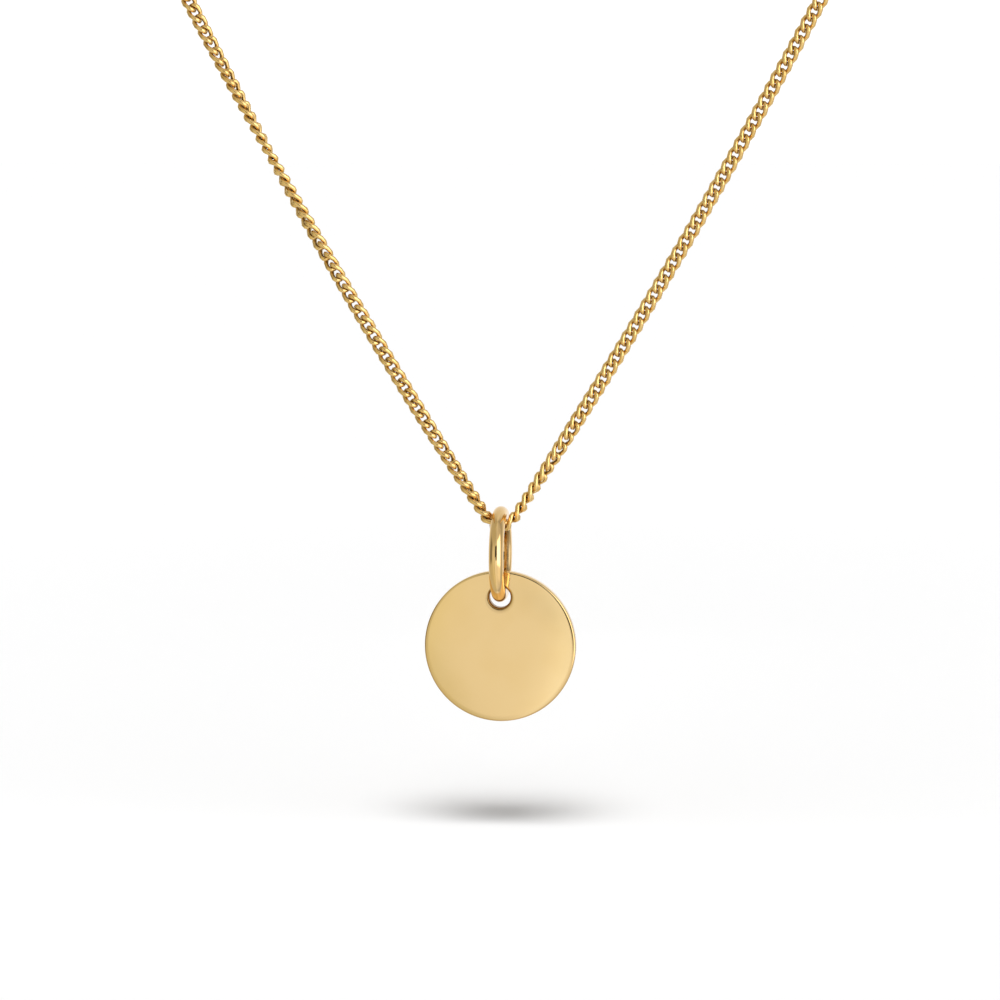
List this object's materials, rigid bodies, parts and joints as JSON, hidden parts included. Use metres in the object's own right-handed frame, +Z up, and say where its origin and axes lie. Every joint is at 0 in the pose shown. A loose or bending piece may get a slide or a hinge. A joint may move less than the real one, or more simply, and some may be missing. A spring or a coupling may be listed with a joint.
{
  "type": "necklace with a round disc pendant",
  "caption": "Plain round polished disc hung through a hole near its rim from a jump ring, on a fine curb chain that goes round the neck to a small barrel clasp.",
  "frame": {"origin": "middle of the clasp, on the chain's line, where the necklace lies on the back of the neck", "axes": "+Z up, -Y the way the disc faces, +X along the clasp's barrel to the right of someone looking at the disc"},
  "size_m": [0.1126, 0.109, 0.1198],
  "materials": {
    "disc": "polished",
    "jump_ring": "polished",
    "chain": "polished",
    "clasp": "polished"
  },
  "bodies": {
    "chain": {"chain_front": "chain", "chain_back": "chain", "clasp": "clasp"},
    "ring": {"jump_ring": "jump_ring"},
    "disc": {"disc": "disc"}
  },
  "joints": [
    {"name": "ring_swing", "type": "hinge", "parent": "chain", "child": "ring", "pos_m": [0, -0.104, -0.10335], "axis": [1, 0, 0], "range_deg": [-75, 75]},
    {"name": "disc_swing", "type": "hinge", "parent": "ring", "child": "disc", "pos_m": [0, -0.104, -0.10846], "axis": [0, 1, 0], "range_deg": [-80, 80]}
  ]
}
